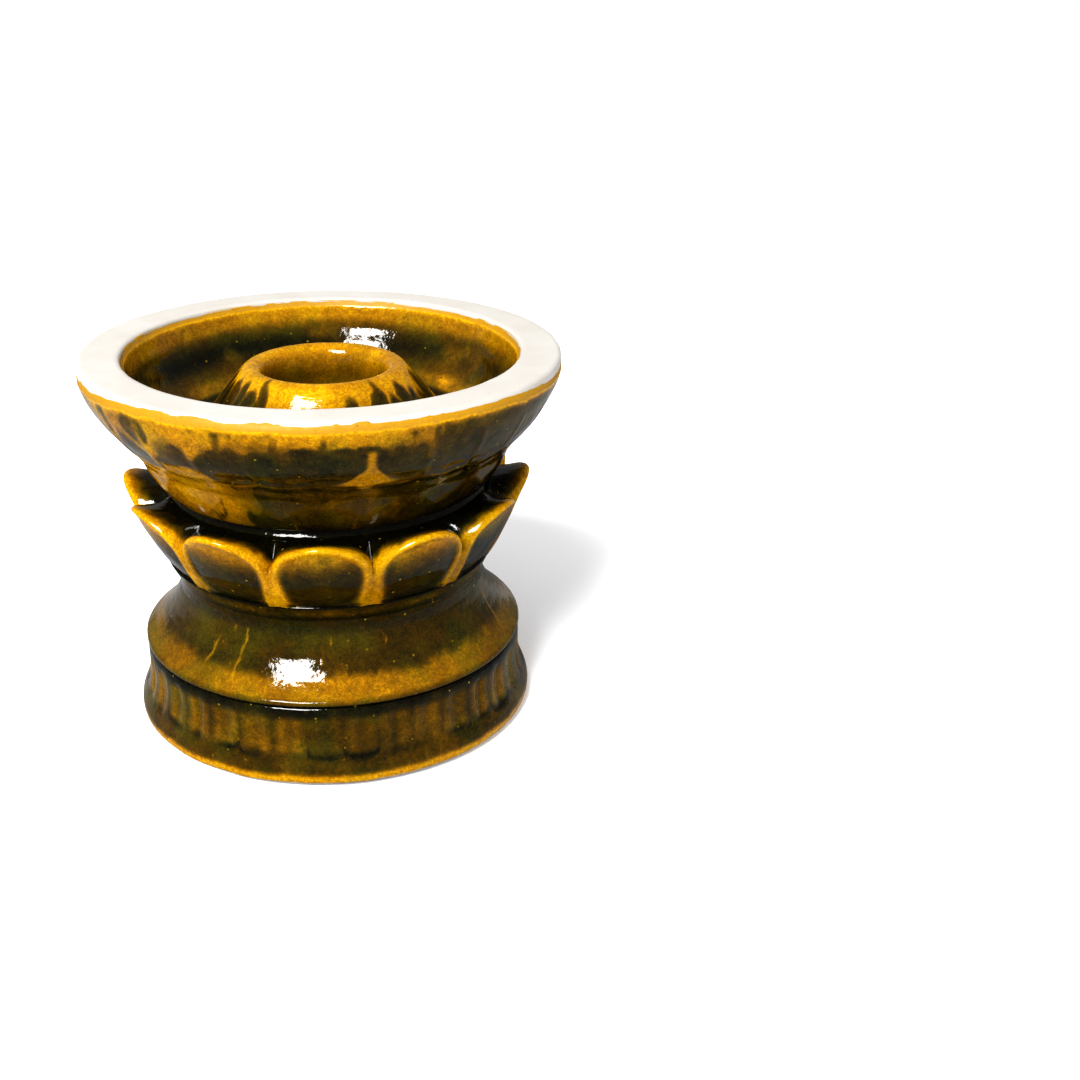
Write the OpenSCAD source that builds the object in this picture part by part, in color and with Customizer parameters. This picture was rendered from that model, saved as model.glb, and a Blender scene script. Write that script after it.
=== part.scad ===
// Glazed stoneware hookah bowl with a lotus-petal collar.
// The clay pieces are thrown or pressed apart, then seated in each other and luted with slip.
// A glass glaze lies over them as separate coats, which stop short of the bare rim and foot.
// Millimetres, +Z up. The origin is on the bowl's axis, on the surface that the foot stands on.

/* [Dish] */
// Diameter of the bare clay rim
rim_d = 80; // [74:1:98]
// Height of the dish, from its seat on the collar to the rim
dish_h = 23.5; // [19:0.5:29]
// Diameter of the well at the rim
well_d = 66; // [55:1:70]
// Height of the well's floor above the dish's seat
floor_h = 8.5; // [7:0.5:10.5]
// Diameter where the well's curved wall meets its floor
floor_d = 51; // [50:0.2:54]
// How far the well's wall curves out from a straight slope
well_curve = 1.2; // [0.4:0.2:2.4]
// Diameter of the lip at the bottom of the dish
lip_d = 55.4; // [51:0.2:60]
// Diameter at the crease above the lower tier
crease_d = 62.4; // [59:0.2:66]
// Height of the crease above the dish's seat
crease_h = 7.9; // [6:0.1:9.5]
// Diameter at the step below the upper tier
step_d = 67.8; // [64:0.2:70]
// Height of the step above the dish's seat
step_h = 11.3; // [10:0.1:13]
// Height of the bare band below the rim
rim_band = 1.6; // [1:0.1:2.5]

/* [Spire] */
// Diameter of the spire's lip
spire_lip_d = 28; // [27:0.2:31]
// Height of the spire above the well's floor
spire_h = 11.7; // [10:0.1:15]
// Diameter of the spire where it spreads on the floor
spire_foot_d = 44.8; // [38:0.2:45]
// Thickness of the rolled lip
spire_lip_t = 3.4; // [2.4:0.1:4]
// Diameter of the airway through the spire
airway_d = 18.6; // [15:0.2:21]
// Diameter of the spigot below the spire
spigot_d = 26; // [25:0.5:30]
// Depth that the spigot goes into the collar
spigot_depth = 5.5; // [4:0.5:7]

/* [Collar and petals] */
// Height of the collar, from the shoulder to the dish
collar_h = 17.5; // [15:0.5:21]
// Diameter of the waist between the petals and the dish
waist_d = 49; // [44:0.5:52]
// Height of the ledge that the petals stand on
ledge_h = 6; // [5:0.1:7]
// Diameter of the ledge
ledge_d = 55.7; // [54.5:0.1:60]
// Width of the ledge
ledge_w = 2.2; // [1.5:0.1:3]
// Diameter of the petal seat at its top
seat_top_d = 55; // [51:0.5:58]
// Number of petals
petal_count = 12; // [9:1:16]
// Height of a petal above the ledge
petal_h = 12.5; // [11.5:0.1:15]
// Diameter over the petals' tips
petal_tip_d = 69; // [66:0.2:74]
// How far a petal's face bellies out
petal_belly = 0.7; // [0:0.1:1.5]
// Radius of a petal's rounded outline
petal_round = 9.4; // [8:0.1:12]
// How steeply the notches between the petals climb inwards, in degrees
notch_slope = 30; // [10:1:40]
// Gap between neighbouring petals, filled with slip
petal_gap = 0.2; // [0.1:0.05:0.5]
// How far the ring of petals is turned about the axis, in degrees
petal_turn = 5.5; // [0:0.5:30]

/* [Foot and shoulder] */
// Diameter of the neck above the shoulder
neck_d = 52.2; // [48:0.2:54]
// Height of the shoulder
shoulder_h = 9.8; // [8:0.2:12]
// Diameter of the shoulder at its edge
shoulder_d = 65.8; // [60:0.2:68]
// How far the shoulder's slope sinks in
shoulder_sink = 1; // [0:0.1:1.5]
// Height of the foot ring
foot_h = 14.2; // [11.5:0.1:17.5]
// Diameter of the foot at its bead
foot_d = 69.2; // [68:0.2:84]
// Radius of the rounded bead at the bottom of the foot
bead_r = 2.6; // [2:0.1:3]
// Diameter of the fluted band
band_d = 65.4; // [62:0.2:67]
// Inner diameter of the foot ring
foot_bore_d = 54; // [50:0.5:56]
// Number of flutes round the band
flute_count = 36; // [20:1:44]
// Radius of each flute
flute_r = 1.2; // [0.8:0.05:1.4]
// Depth of each flute
flute_depth = 0.5; // [0.3:0.05:0.8]
// How far the ring of flutes is turned about the axis, in degrees
flute_turn = 4.5; // [3:0.5:7]
// Height where the flutes start above the surface
flute_start = 5.6; // [4.6:0.1:6.5]
// Width of the rebate that centres the shoulder in the foot ring
rebate_w = 2; // [1:0.1:2.5]
// Depth of the rebate
rebate_h = 2; // [1:0.1:3]

/* [Stem socket] */
// Diameter of the straight part of the socket
socket_d = 25; // [21:0.5:28]
// Height where the straight part starts
socket_start = 3; // [2:0.5:5]
// Height where the straight part ends
socket_end = 21; // [18:0.5:23]
// How far the socket's mouth flares out all round
mouth_flare = 1.5; // [0.5:0.1:2]
// Clay wall of the socket tube
socket_wall = 4.5; // [3.5:0.5:6]

/* [Clearances and glaze] */
// Radial gap between luted pieces, filled with slip
lute = 0.15; // [0.05:0.05:0.3]
// Thickness of the glaze
glaze_t = 0.5; // [0.3:0.1:0.7]
// Depth that the glaze runs down the airway from the spire's lip
glaze_run = 14; // [12:0.5:20]
// Height of the bare clay at the bottom of the foot
bare_foot = 0.6; // [0.3:0.1:1.5]

/* [Hidden] */
$fn = 96;
shoulder_z = foot_h;
collar_z = shoulder_z + shoulder_h;
dish_z = collar_z + collar_h;
rim_z = dish_z + dish_h;
floor_z = dish_z + floor_h;
tube_top = collar_z + ledge_h;
spigot_z = dish_z - spigot_depth;
tube_d = socket_d + 2 * socket_wall;
mouth_d = socket_d + 2 * mouth_flare;
edge = 0.6;
petal_step = 360 / petal_count;
far = rim_d;
clay_white = [0.93, 0.9, 0.86];
glaze_amber = [0.8, 0.52, 0.08];
glaze_olive = [0.36, 0.31, 0.06];
glaze_dark = [0.16, 0.14, 0.05];

function petal_name(i) = str("petal_", i < 10 ? "0" : "", i);

// All outlines are lists of [radius, height], drawn so that the outside is on the right.

// Points of an arc about c, from angle a to angle b.
function arc(c, r, a, b, n = 6) = [for (i = [0:n]) c + r * [cos(a + (b - a) * i / n), sin(a + (b - a) * i / n)]];

// Points from a to b along a shallow curve that stands out by h at its middle.
function bow(a, b, h, n = 6) = let (d = b - a, out = [d[1], -d[0]] / norm(d))
  [for (i = [0:n]) let (t = i / n) a + t * d + 4 * h * t * (1 - t) * out];

// The side of the step from a to b that faces out, as a unit vector.
function side(a, b) = [b[1] - a[1], a[0] - b[0]] / norm(b - a);

// The outline moved out by t, with its corners kept sharp.
function moved_out(path, t) = [for (i = [0:len(path) - 1])
  let (n1 = side(path[max(i - 1, 0)], path[max(i, 1)]))
  let (n2 = side(path[min(i, len(path) - 2)], path[min(i + 1, len(path) - 1)]))
  path[i] + t * (n1 + n2) / (1 + n1 * n2)];

function raised(path, z) = [for (p = path) p + [0, z]];
function part_of(path, first, last) = [for (i = [first:last]) path[i]];
function backwards(path) = [for (i = [len(path) - 1:-1:0]) path[i]];

// Outside of the foot ring: a rounded bead, a cove, then the fluted band up to the crevice.
bead_turn = 62;
bead_end = 24;
cove_top = 9;
cove_sink = 0.3;
bead_c = [foot_d / 2 - bead_r, bead_r * sin(bead_turn)];
bare_turn = asin((bare_foot - bead_c[1]) / bead_r);
crevice = 0.5;
foot_bead = concat([bead_c + bead_r * [cos(bead_turn), -sin(bead_turn)]], arc(bead_c, bead_r, bare_turn, bead_end, 7));
cove_start = bead_c + bead_r * [cos(bead_end), sin(bead_end)];
foot_side = concat(foot_bead, part_of(bow(cove_start, [band_d / 2, cove_top], -cove_sink, 3), 1, 3), [
  [band_d / 2, foot_h - 1],
  [band_d / 2 - crevice, foot_h - 0.3],
  [band_d / 2 - crevice, foot_h]]);

// Outside of the shoulder: a rounded edge, then a sunk slope up to the neck.
shoulder_side = concat(
  [[band_d / 2 - crevice, shoulder_z], [shoulder_d / 2 - 0.3, shoulder_z + 0.2]],
  bow([shoulder_d / 2, shoulder_z + edge], [neck_d / 2, collar_z], -shoulder_sink));

// Outside of the collar, from the neck out to the ledge.
collar_side = concat(
  [[neck_d / 2, collar_z]],
  bow([neck_d / 2, collar_z + 1.6], [ledge_d / 2, tube_top], -0.15, 3));
seat_foot = [ledge_d / 2 - ledge_w, tube_top];
seat_top = [seat_top_d / 2, dish_z - 0.5];
waist_r = waist_d / 2;

// Outside of a petal, from the ledge up the face to the tip, then in to the seat.
petal_tip = [petal_tip_d / 2, tube_top + petal_h];
petal_side = concat(bow([ledge_d / 2, tube_top], petal_tip, petal_belly), [seat_top]);
petal_body = concat(petal_side, [seat_foot]);

// Outside of the waist and the dish, from the collar up to the bare rim.
lip_rise = 1.9;
waist_side = [[waist_r, dish_z - 0.5], [waist_r, dish_z + 0.6], [lip_d / 2 - edge, dish_z + lip_rise - 0.4]];
dish_side = concat(
  waist_side,
  bow([lip_d / 2, dish_z + lip_rise], [crease_d / 2, dish_z + crease_h], 0.4, 4),
  bow([crease_d / 2 + 0.3, dish_z + crease_h + 0.5], [step_d / 2, dish_z + step_h], 0.1, 2),
  bow([step_d / 2 + 1, dish_z + step_h + 1], [rim_d / 2 - 0.2, rim_z - rim_band - 0.6], 0.7),
  [[rim_d / 2, rim_z - rim_band]]);
// The whole outside above the foot ring, which the coats share: shoulder, collar, petals, waist and dish.
outside = concat(
  shoulder_side,
  part_of(collar_side, 1, len(collar_side) - 1),
  part_of(petal_side, 1, len(petal_side) - 1),
  dish_side);
ledge_at = len(shoulder_side) + len(collar_side) - 2;
seat_top_at = ledge_at + len(petal_side) - 1;
lip_at = seat_top_at + len(waist_side);
petal_coat = concat(
  [[ledge_d / 2, tube_top]],
  part_of(moved_out(outside, glaze_t), ledge_at, seat_top_at),
  [seat_top, seat_foot]);

rim_outside = arc([rim_d / 2 - edge, rim_z - edge], edge, 0, 90, 4);
rim_inside = arc([well_d / 2 + edge, rim_z - edge], edge, 90, 180, 4);

floor_fillet = 2.5;
// Inside of the well, from below the rim down to the spire's foot, then the spire and its airway.
well_side = concat(
  bow([well_d / 2, rim_z - 1.2], [floor_d / 2, floor_z + 0.4], -well_curve, 10),
  [[floor_d / 2 - floor_fillet, floor_z]]);
lip_r = spire_lip_t / 2;
lip_c = [spire_lip_d / 2 - lip_r, floor_z + spire_h - lip_r];
lip_turn = 30;
lip_arc = arc(lip_c, lip_r, lip_turn, 180, 9);
spire_side = concat(
  [[spire_foot_d / 2, floor_z]],
  lip_arc,
  bow([airway_d / 2 + 0.8, lip_c[1] - 2.4], [airway_d / 2, floor_z + 4], -0.2, 3),
  [[airway_d / 2, floor_z + spire_h - glaze_run]]);

// A thin coat on a stretch of an outline, from point first to point last.
module coat(path, first, last) {
  skin = moved_out(path, glaze_t);
  rotate_extrude() polygon(concat(part_of(path, first, last), backwards(part_of(skin, first, last))));
}

// The flutes, cut into the band from the foot's bead up to the crevice.
module flutes(r) {
  for (i = [0:flute_count - 1])
    rotate(i * 360 / flute_count + flute_turn)
      translate([band_d / 2 + flute_r - flute_depth, 0, flute_start + flute_r]) {
        cylinder(h = foot_h - flute_start - flute_r - 0.6, r = r, $fn = 24);
        sphere(r = r, $fn = 24);
      }
}

// Keeps what lies in one petal's share of the circle.
module petal_sector(i) {
  half = petal_step / 2;
  rotate(i * petal_step + petal_turn)
    difference() {
      translate([0, -far, 0]) cube([far, 2 * far, rim_z]);
      rotate(half) translate([-far, -petal_gap / 2, -1]) cube([3 * far, 2 * far, rim_z + 2]);
      rotate(-half) translate([-far, petal_gap / 2 - 2 * far, -1]) cube([3 * far, 2 * far, rim_z + 2]);
    }
}

// A block with a petal's rounded top, which leans in so that the notches climb towards the waist.
module petal_outline(i, grow) {
  rotate(i * petal_step + petal_turn)
    translate([petal_tip[0], 0, petal_tip[1] - petal_round / cos(notch_slope)])
      rotate([0, -90 + notch_slope, 0])
        cylinder(h = 2 * petal_tip[0], r = petal_round + grow, center = true);
}

module foot_ring() color(clay_white)
  difference() {
    rotate_extrude() polygon(concat(foot_side, [
      [foot_bore_d / 2 + rebate_w, foot_h],
      [foot_bore_d / 2 + rebate_w, foot_h - rebate_h],
      [foot_bore_d / 2, foot_h - rebate_h],
      [foot_bore_d / 2, 0]]));
    flutes(flute_r);
  }

module stem_socket() color(clay_white)
  rotate_extrude() polygon([
    [mouth_d / 2, 0],
    [tube_d / 2, 0],
    [tube_d / 2, tube_top],
    [airway_d / 2, tube_top],
    [airway_d / 2, tube_top - 2],
    [socket_d / 2, socket_end],
    [socket_d / 2, socket_start]]);

module shoulder() color(clay_white)
  rotate_extrude() polygon(concat(shoulder_side, [
    [tube_d / 2 + lute, collar_z],
    [tube_d / 2 + lute, shoulder_z + shoulder_h / 2],
    [foot_bore_d / 2 - 5, shoulder_z + shoulder_h / 2 - 0.8],
    [foot_bore_d / 2 - 1, shoulder_z],
    [foot_bore_d / 2 - 1, shoulder_z - rebate_h],
    [foot_bore_d / 2 + rebate_w - lute, shoulder_z - rebate_h],
    [foot_bore_d / 2 + rebate_w - lute, shoulder_z]]));

module waist_collar() color(clay_white)
  rotate_extrude() polygon(concat(collar_side, [
    seat_foot,
    seat_top,
    [waist_r, dish_z - 0.5],
    [waist_r, dish_z],
    [spigot_d / 2 + lute, dish_z],
    [spigot_d / 2 + lute, spigot_z],
    [airway_d / 2, spigot_z],
    [airway_d / 2, tube_top],
    [tube_d / 2 + lute, tube_top],
    [tube_d / 2 + lute, collar_z]]));

module dish() color(clay_white)
  rotate_extrude() polygon(concat(
    [[spigot_d / 2 + lute, dish_z], [waist_r, dish_z]],
    part_of(dish_side, 1, len(dish_side) - 1),
    rim_outside,
    rim_inside,
    well_side,
    [[spigot_d / 2 + lute, floor_z]]));

module spire() color(clay_white)
  rotate_extrude() polygon(concat(spire_side, [
    [airway_d / 2, spigot_z],
    [spigot_d / 2, spigot_z],
    [spigot_d / 2, floor_z]]));

module petal(i) color(clay_white)
  intersection() {
    rotate_extrude() polygon(petal_body);
    petal_outline(i, 0);
    petal_sector(i);
  }

module glaze_foot() color(glaze_olive)
  difference() {
    coat(foot_side, 1, len(foot_side) - 1);
    flutes(flute_r + 0.1);
  }

module glaze_shoulder() color(glaze_dark)
  coat(outside, 1, ledge_at);

module glaze_petals() color(glaze_amber)
  for (i = [1:petal_count])
    difference() {
      intersection() {
        rotate_extrude() polygon(petal_coat);
        petal_outline(i, glaze_t);
        petal_sector(i);
      }
      intersection() {
        rotate_extrude() polygon(petal_body);
        petal_outline(i, 0);
      }
    }

module glaze_waist() color(glaze_dark)
  coat(outside, seat_top_at, lip_at);

module glaze_dish() color(glaze_olive)
  coat(outside, lip_at, len(outside) - 1);

module glaze_well() color(glaze_amber)
  coat(concat(well_side, spire_side), 0, len(well_side));

module glaze_spire() color(glaze_amber)
  coat(concat(well_side, spire_side), len(well_side), len(well_side) + len(spire_side) - 1);

foot_ring();
stem_socket();
shoulder();
waist_collar();
dish();
spire();
for (i = [1:petal_count])
  petal(i);
glaze_foot();
glaze_shoulder();
glaze_petals();
glaze_waist();
glaze_dish();
glaze_well();
glaze_spire();
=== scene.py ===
import math
import bpy
import numpy as np
from mathutils import Matrix, Vector


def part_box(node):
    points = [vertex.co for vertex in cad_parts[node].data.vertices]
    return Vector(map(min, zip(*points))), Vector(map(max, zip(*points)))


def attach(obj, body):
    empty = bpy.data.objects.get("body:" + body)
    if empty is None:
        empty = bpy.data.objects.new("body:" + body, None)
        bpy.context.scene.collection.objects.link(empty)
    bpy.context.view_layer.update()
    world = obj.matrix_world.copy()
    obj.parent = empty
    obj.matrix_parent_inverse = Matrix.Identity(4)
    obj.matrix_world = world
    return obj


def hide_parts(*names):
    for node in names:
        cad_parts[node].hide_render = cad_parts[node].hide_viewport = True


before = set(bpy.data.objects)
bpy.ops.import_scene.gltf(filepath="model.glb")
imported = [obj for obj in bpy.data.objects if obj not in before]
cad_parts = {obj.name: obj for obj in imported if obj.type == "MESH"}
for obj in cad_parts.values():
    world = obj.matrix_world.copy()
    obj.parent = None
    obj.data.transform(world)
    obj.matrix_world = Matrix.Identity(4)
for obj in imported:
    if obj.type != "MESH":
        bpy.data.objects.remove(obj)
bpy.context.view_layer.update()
mm = 0.001


# Small tools for colours, blends and seeded random lumps.

def linear(hexColour):
    # sRGB hex to the linear numbers that a shader socket wants
    parts = [int(hexColour[i:i + 2], 16) / 255 for i in (1, 3, 5)]
    return tuple(c / 12.92 if c <= 0.04045 else ((c + 0.055) / 1.055) ** 2.4 for c in parts) + (1.0,)


def ease(low, high, x):
    # 0 below low, 1 above high, and a soft S between
    t = np.clip((x - low) / (high - low), 0, 1)
    return t * t * (3 - 2 * t)


def hump(x, centre, width):
    return np.exp(-((x - centre) / width) ** 2)


def mix(a, b, t):
    return a + (b - a) * t


def lumps(points, size, seed):
    # smooth random values from -1 to 1, in lumps about size mm across
    p = points / size + seed * 7.31
    cell = np.floor(p).astype(np.int64)
    f = p - cell
    f = f * f * (3 - 2 * f)
    total = 0
    for corner in range(8):
        step = np.array([corner & 1, corner >> 1 & 1, corner >> 2 & 1])
        c = cell + step
        h = c[..., 0] * 73856093 ^ c[..., 1] * 19349663 ^ c[..., 2] * 83492791 ^ (seed * 2654435)
        h = (h ^ (h >> 13)) * 1274126177
        h = (h ^ (h >> 16)) & 0xffff
        total = total + np.prod(np.where(step, f, 1 - f), axis=-1) * (h / 32767.5 - 1)
    return total


def roughLumps(points, size, seed, octaves=3):
    # lumps with finer lumps on them
    return sum(lumps(points, size / 2 ** k, seed + k) / 2 ** k for k in range(octaves)) / 1.6


# Outlines of the turned nodes, read from the frame.

def sliceOutline(nodeName, angle=0.2):
    # closed outline [radius, height] in mm where a half plane near +X cuts the node,
    # walked so that the outside is on the right
    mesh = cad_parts[nodeName].data
    mesh.calc_loop_triangles()
    points = np.empty(len(mesh.vertices) * 3)
    mesh.vertices.foreach_get("co", points)
    points = points.reshape(-1, 3) / mm
    corners = np.empty(len(mesh.loop_triangles) * 3, int)
    mesh.loop_triangles.foreach_get("vertices", corners)
    corners = corners.reshape(-1, 3)
    turn = math.radians(angle)
    across = points @ np.array([-math.sin(turn), math.cos(turn), 0])
    along = points @ np.array([math.cos(turn), math.sin(turn), 0])
    flat = np.column_stack([along, points[:, 2]])
    side = across[corners]
    cut = (side.max(1) > 0) & (side.min(1) <= 0) & (along[corners].min(1) > 0)
    steps = []
    for tri in corners[cut]:
        ends = []
        for a, b in ((0, 1), (1, 2), (2, 0)):
            i, j = sorted((tri[a], tri[b]), key=lambda k: tuple(points[k]))
            if (across[i] > 0) != (across[j] > 0):
                t = across[i] / (across[i] - across[j])
                ends.append(flat[i] + (flat[j] - flat[i]) * t)
        steps.append(ends)
    steps = np.array(steps)
    left = list(range(1, len(steps)))
    loop = [steps[0][0], steps[0][1]]
    while left:
        gaps = np.linalg.norm(steps[left] - loop[-1], axis=2)
        k, end = np.unravel_index(np.argmin(gaps), gaps.shape)
        if gaps[k, end] > 0.01:
            break
        loop.append(steps[left[k]][1 - end])
        left.pop(k)
    loop = np.array(loop[:-1])
    following = np.roll(loop, -1, 0)
    area = np.sum(loop[:, 0] * following[:, 1] - following[:, 0] * loop[:, 1])
    return loop if area > 0 else loop[::-1]


def gapToLoop(points, loop):
    # distance of each point from a closed outline
    a = loop[None]
    d = np.roll(loop, -1, 0)[None] - a
    p = points[:, None]
    t = np.clip(((p - a) * d).sum(2) / np.maximum((d * d).sum(2), 1e-12), 0, 1)
    return np.linalg.norm(p - a - d * t[..., None], axis=2).min(1)


def claySideOf(coatNode, *clayNodes):
    # the stretch of clay outline under a coat, walked so that the coat is on the right
    loop = sliceOutline(coatNode)
    onClay = np.min([gapToLoop(loop, sliceOutline(n)) for n in clayNodes], axis=0) < 0.03
    start = next(i for i in range(len(loop)) if onClay[i] and not onClay[i - 1])
    loop, onClay = np.roll(loop, -start, 0), np.roll(onClay, -start)
    return loop[onClay][::-1]


def runOn(path, nodeName, length, spacing=0.1):
    # the path carried on past its end, along the clay
    loop = sliceOutline(nodeName)
    loop = np.vstack([loop, loop[:1]])
    lengths = np.concatenate([[0], np.cumsum(np.linalg.norm(np.diff(loop, axis=0), axis=1))])
    even = np.arange(0, lengths[-1], spacing)
    fine = np.column_stack([np.interp(even, lengths, loop[:, k]) for k in (0, 1)])
    start = nearest(fine, path[-1])
    heading = path[-1] - path[-2]
    way = 1 if (fine[(start + 3) % len(fine)] - fine[start]) @ heading > 0 else -1
    picks = (start + way * np.arange(1, int(length / spacing))) % len(fine)
    return np.vstack([path, fine[picks]])


def softened(path, spacing, softness, closed=False):
    # the path in even steps, with its corners rounded off
    if closed:
        path = np.vstack([path, path[:1]])
    lengths = np.concatenate([[0], np.cumsum(np.linalg.norm(np.diff(path, axis=0), axis=1))])
    count = max(int(round(lengths[-1] / spacing)), 3)
    even = np.linspace(0, lengths[-1], count + 1)
    points = np.column_stack([np.interp(even, lengths, path[:, k]) for k in (0, 1)])
    reach = max(int(3 * softness / spacing), 1)
    weights = np.exp(-0.5 * (np.arange(-reach, reach + 1) * spacing / softness) ** 2)
    weights /= weights.sum()
    if closed:
        points = points[:-1]
        padded = np.vstack([points[-reach:], points, points[:reach]])
    else:
        # mirrored through each end, so that the ends stay where they are
        before = 2 * points[0] - points[reach:0:-1]
        after = 2 * points[-1] - points[-2:-reach - 2:-1]
        padded = np.vstack([before, points, after])
    return np.column_stack([np.convolve(padded[:, k], weights, "valid") for k in (0, 1)])


def outwards(path):
    # unit normals on the right of the path
    step = np.gradient(path, axis=0)
    step /= np.linalg.norm(step, axis=1, keepdims=True)
    return np.column_stack([step[:, 1], -step[:, 0]])


def nearest(path, point):
    return int(np.argmin(np.linalg.norm(path - np.array(point), axis=1)))


# Meshes are grids of points. Angles round the bowl are in degrees from the front (-Y) towards the right (+X).

def ring(count, first=0.0, last=360.0):
    return np.linspace(first, last, count, endpoint=last - first < 359.9)


def placed(angles, radii, heights):
    a = np.radians(angles)
    return np.stack([radii * np.sin(a), -radii * np.cos(a), heights + 0 * a], axis=-1)


def handShape(points):
    # the bowl was shaped by hand, so the dish is slightly out of round, always inwards of true
    a = np.arctan2(points[..., 0], -points[..., 1])
    rise = ease(40, 65, points[..., 2])
    shrink = 0.0035 * rise * (0.5 + 0.3 * np.sin(2 * a + 0.8) + 0.2 * np.sin(3 * a + 2.1))
    out = points.copy()
    out[..., 0] *= 1 - shrink
    out[..., 1] *= 1 - shrink
    return out


def meshPiece(name, points, material, nodes, pool=None, closedRound=True):
    # a closed skin from a grid: first axis round the bowl, second axis round the section
    n, m = points.shape[:2]
    verts = handShape(points).reshape(-1, 3) * mm
    i, j = np.meshgrid(np.arange(n if closedRound else n - 1), np.arange(m), indexing="ij")
    i2, j2 = (i + 1) % n, (j + 1) % m
    quads = np.stack([i * m + j, i2 * m + j, i2 * m + j2, i * m + j2], axis=-1).reshape(-1, 4)
    mesh = bpy.data.meshes.new(name)
    a, b, c = verts[quads[:, 0]], verts[quads[:, 1]], verts[quads[:, 2]]
    volume = np.einsum("ij,ij->i", a, np.cross(b, c)).sum() + np.einsum(
        "ij,ij->i", a, np.cross(c, verts[quads[:, 3]])).sum()
    if volume < 0:
        quads = quads[:, ::-1]
    loops = quads.reshape(-1)
    starts = np.arange(len(quads)) * 4
    totals = np.full(len(quads), 4)
    if not closedRound:
        ends = np.array([np.arange(m), (n - 1) * m + np.arange(m)[::-1]])
        ends = ends[:, ::-1] if volume < 0 else ends
        starts = np.concatenate([starts, [len(loops), len(loops) + m]])
        totals = np.concatenate([totals, [m, m]])
        loops = np.concatenate([loops, ends[0][::-1], ends[1][::-1]])
    mesh.vertices.add(len(verts))
    mesh.vertices.foreach_set("co", verts.astype(np.float32).reshape(-1))
    mesh.loops.add(len(loops))
    mesh.loops.foreach_set("vertex_index", loops.astype(np.int32))
    mesh.polygons.add(len(starts))
    mesh.polygons.foreach_set("loop_start", starts.astype(np.int32))
    mesh.polygons.foreach_set("loop_total", totals.astype(np.int32))
    mesh.polygons.foreach_set("use_smooth", np.ones(len(starts), bool))
    mesh.update(calc_edges=True)
    mesh.validate()
    if pool is not None:
        layer = mesh.attributes.new("pool", "FLOAT", "POINT")
        layer.data.foreach_set("value", pool.astype(np.float32).reshape(-1))
    mesh.materials.append(material)
    piece = bpy.data.objects.new(name, mesh)
    bpy.context.scene.collection.objects.link(piece)
    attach(piece, "root")
    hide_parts(*nodes)
    print(f"{name}: {len(verts)} points")
    return piece


def coatPiece(name, node, path, normals, count, material, look, backPath=None):
    # a coat of glaze on a turned surface; look gives its thickness, its pooling and how far its back sinks
    # in at every point
    angles = ring(count)[:, None]
    r, z = path[None, :, 0] + 0 * angles, path[None, :, 1] + 0 * angles
    base = placed(angles, r, z)
    steps = np.linalg.norm(np.diff(path, axis=0), axis=1)
    walked = np.concatenate([[0], np.cumsum(steps)])[None] + 0 * angles
    thick, pool, sink = look(angles + 0 * r, r, z, walked, walked[:, -1:] - walked, base)
    front = placed(angles, r + thick * normals[None, :, 0], z + thick * normals[None, :, 1])
    if backPath is not None:
        path, normals = backPath, outwards(backPath)
        r, z = path[None, :, 0] + 0 * angles, path[None, :, 1] + 0 * angles
        sink, thick = 0 * r, 1 + 0 * r
    rows = np.unique(np.linspace(0, len(path) - 1, max(len(path) // 3, 4)).astype(int))[::-1]
    under = 0.06 + sink[:, rows] + np.maximum(0.08 - thick[:, rows], 0)
    backR, backZ = r[:, rows] - under * normals[None, rows, 0], z[:, rows] - under * normals[None, rows, 1]
    back = placed(angles, backR, backZ)
    backPool = np.ones((count, len(rows)))
    return meshPiece(name, np.concatenate([front, back], 1), material, [node],
                     np.concatenate([np.clip(pool, 0, 1), backPool], 1))


def turned(angle):
    # the same angle from -180 to 180
    return (angle + 180) % 360 - 180


# Materials.

def addNode(tree, kind, settings=None, links=None, **attributes):
    # one node with its attributes, its socket values and the sockets that feed it
    node = tree.nodes.new(kind)
    for key, value in attributes.items():
        setattr(node, key, value)
    for key, value in (settings or {}).items():
        node.inputs[key].default_value = value
    for key, source in (links or {}).items():
        tree.links.new(source, node.inputs[key])
    return node


def newMaterial(name):
    material = bpy.data.materials.new(name)
    material.use_nodes = True
    material.node_tree.nodes.clear()
    return material, material.node_tree


# Runny iron glaze, dipped and fired glossy: a layer of coloured glass over white clay.
# The eye sees clear amber where it thins over an edge, and olive to black where it pools.
glazeLook = {
    "ramp": [(0.0, "#CE9F0A"), (0.12, "#A27405"), (0.26, "#7B5703"), (0.4, "#5C4202"), (0.54, "#443102"),
             (0.68, "#2F2404"), (0.82, "#1C1805"), (1.0, "#050502")],
    "greenRamp": [(0.0, "#BE920A"), (0.3, "#6F5804"), (0.5, "#484006"), (0.7, "#2E2C07"), (0.85, "#191A07"),
                  (1.0, "#040502")],
    "greenPatch": 7.0,      # mm, size of the greener patches
    "mottle": 1.1,          # mm, size of the mottling
    "grain": 0.4,           # mm, fine crystals in the glass, drawn coarse enough to show
    "fleckCell": 1.5,       # mm between the yellow flecks in dark glaze
    "fleckColour": "#A98F14",
    "ironCell": 2.6,        # mm between iron spots in amber glaze
    "ironColour": "#3B2604",
    "roughness": 0.07,
    "dryRoughness": 0.55,
    # painted shade: the darker tint of the dry edge
    "dryEdgeShade": "#946C06",
    "ior": 1.5,
}


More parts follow.
